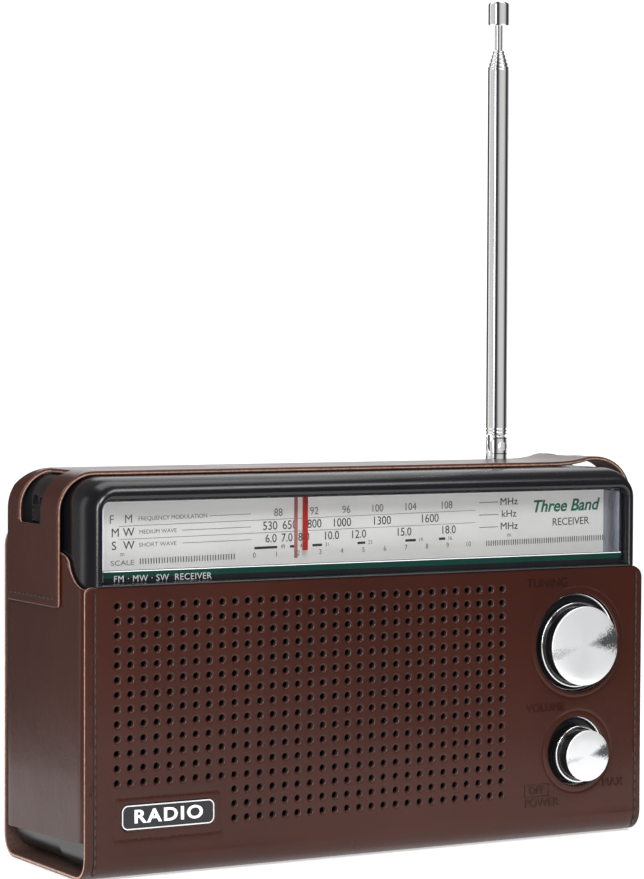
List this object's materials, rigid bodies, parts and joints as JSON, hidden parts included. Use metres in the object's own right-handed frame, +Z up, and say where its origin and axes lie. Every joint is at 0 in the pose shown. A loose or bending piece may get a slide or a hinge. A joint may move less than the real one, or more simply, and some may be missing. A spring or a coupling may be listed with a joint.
{
  "type": "portable radio in a leather case",
  "caption": "Upright portable radio in a fitted brown leather case, with a punched speaker front, lit-white dial, two knobs and a folding telescopic antenna.",
  "frame": {"origin": "middle of the case's flat underside, half way between the front panel and the back flap", "axes": "+X to the right seen from the front, +Y to the back, +Z up along the raised antenna"},
  "size_m": [0.2136, 0.0702, 0.2879],
  "materials": {
    "case_leather": "dark brown full-grain cowhide, glazed",
    "stud_brass": "antique brass",
    "cabinet_black": "glossy black injection-moulded",
    "rear_black": "fine-textured black",
    "steel": "zinc plated",
    "lens_clear": "clear polished acrylic",
    "scale_white": "printed white scale plate",
    "pointer_red": "red needle",
    "knob_black": "glossy black",
    "knob_face": "spun bright",
    "drum_cream": "natural nylon",
    "brass": "turned",
    "cord_cream": "waxed nylon cord",
    "pot_grey": "stamped can",
    "cone_paper": "pulp cone",
    "magnet_steel": "zinc plated yoke",
    "board": "phenolic board",
    "ferrite": "sintered ferrite",
    "copper": "enamelled winding",
    "cell_jacket": "printed jacket",
    "jack_black": "moulded",
    "chrome": "polished chrome plate"
  },
  "bodies": {
    "radio": {"case_front": "case_leather", "case_base": "case_leather", "case_gusset_left": "case_leather", "case_gusset_right": "case_leather", "case_strap": "case_leather", "press_stud_posts": "stud_brass", "front_cabinet": "cabinet_black", "rear_cabinet": "rear_black", "cabinet_screws": "steel", "badge_plate": "knob_black", "dial_lens": "lens_clear", "dial_scale": "scale_white", "pointer_rail": "steel", "tuning_bush": "brass", "tuning_capacitor": "drum_cream", "cord_pulleys": "drum_cream", "dial_cord": "cord_cream", "volume_control": "pot_grey", "speaker_basket": "steel", "speaker_cone": "cone_paper", "speaker_magnet": "magnet_steel", "speaker_screws": "steel", "circuit_board": "board", "board_coils": "steel", "band_switch": "steel", "ferrite_rod": "ferrite", "ferrite_coil": "copper", "ferrite_holders": "drum_cream", "battery_tray": "rear_black", "batteries": "cell_jacket", "battery_springs": "steel", "battery_contacts": "steel", "earphone_jack": "jack_black", "antenna_collar": "chrome"},
    "back_flap": {"case_back_flap": "case_leather", "press_stud_caps": "stud_brass"},
    "battery_door": {"battery_cover": "rear_black"},
    "tuning": {"tuning_knob": "knob_black", "tuning_knob_cap": "knob_face", "tuning_shaft": "steel"},
    "drum": {"dial_drum": "drum_cream", "drum_shaft": "steel"},
    "pointer": {"dial_pointer": "pointer_red"},
    "volume": {"volume_knob": "knob_black", "volume_knob_cap": "knob_face", "volume_shaft": "steel"},
    "selector": {"band_selector": "knob_black"},
    "swivel": {"antenna_swivel": "chrome", "antenna_pin": "chrome"},
    "mast_1": {"antenna_tube_1": "chrome"},
    "mast_2": {"antenna_tube_2": "chrome"},
    "mast_3": {"antenna_tube_3": "chrome"},
    "mast_4": {"antenna_tube_4": "chrome"},
    "mast_5": {"antenna_tube_5": "chrome"},
    "mast_tip": {"antenna_rod": "chrome", "antenna_tip": "chrome"}
  },
  "joints": [
    {"name": "tuning_turn", "type": "hinge", "parent": "radio", "child": "tuning", "pos_m": [0.0788, -0.0356, 0.0654], "axis": [0, 1, 0], "range_deg": [-315.4, 1056.1]},
    {"name": "drum_turn", "type": "hinge", "parent": "radio", "child": "drum", "pos_m": [0.044, -0.014, 0.069], "axis": [0, 1, 0], "range_deg": [-138.8, 41.6]},
    {"name": "pointer_slide", "type": "slide", "parent": "radio", "child": "pointer", "axis": [1, 0, 0], "range_m": [-0.01827, 0.06093]},
    {"name": "volume_turn", "type": "hinge", "parent": "radio", "child": "volume", "pos_m": [0.0788, -0.0376, 0.0284], "axis": [0, 1, 0], "range_deg": [0, 300]},
    {"name": "band_slide", "type": "slide", "parent": "radio", "child": "selector", "axis": [0, 0, 1], "range_m": [-0.002, 0.002]},
    {"name": "back_flap_open", "type": "hinge", "parent": "radio", "child": "back_flap", "pos_m": [0, 0.0303, 0.0072], "axis": [-1, 0, 0], "range_deg": [0, 90]},
    {"name": "battery_cover_slide", "type": "slide", "parent": "radio", "child": "battery_door", "axis": [1, 0, 0], "range_m": [0, 0.0055]},
    {"name": "antenna_turn", "type": "hinge", "parent": "radio", "child": "swivel", "pos_m": [0.0806, 0.0228, 0.12], "axis": [0, 0, 1], "continuous": true},
    {"name": "antenna_fold", "type": "hinge", "parent": "swivel", "child": "mast_1", "pos_m": [0.0806, 0.0228, 0.1312], "axis": [0, -1, 0], "range_deg": [0, 90]},
    {"name": "antenna_pull_1", "type": "slide", "parent": "mast_1", "child": "mast_2", "axis": [0, 0, 1], "range_m": [0, 0.108]},
    {"name": "antenna_pull_2", "type": "slide", "parent": "mast_2", "child": "mast_3", "axis": [0, 0, 1], "range_m": [0, 0.108]},
    {"name": "antenna_pull_3", "type": "slide", "parent": "mast_3", "child": "mast_4", "axis": [0, 0, 1], "range_m": [0, 0.108]},
    {"name": "antenna_pull_4", "type": "slide", "parent": "mast_4", "child": "mast_5", "axis": [0, 0, 1], "range_m": [0, 0.108]},
    {"name": "antenna_pull_5", "type": "slide", "parent": "mast_5", "child": "mast_tip", "axis": [0, 0, 1], "range_m": [-0.0085, 0.104]}
  ],
  "couplings": [
    {"joint": "pointer_slide", "follows": "tuning_turn", "m_per_rad": 0.0033},
    {"joint": "drum_turn", "follows": "tuning_turn", "ratio": -0.13123}
  ]
}
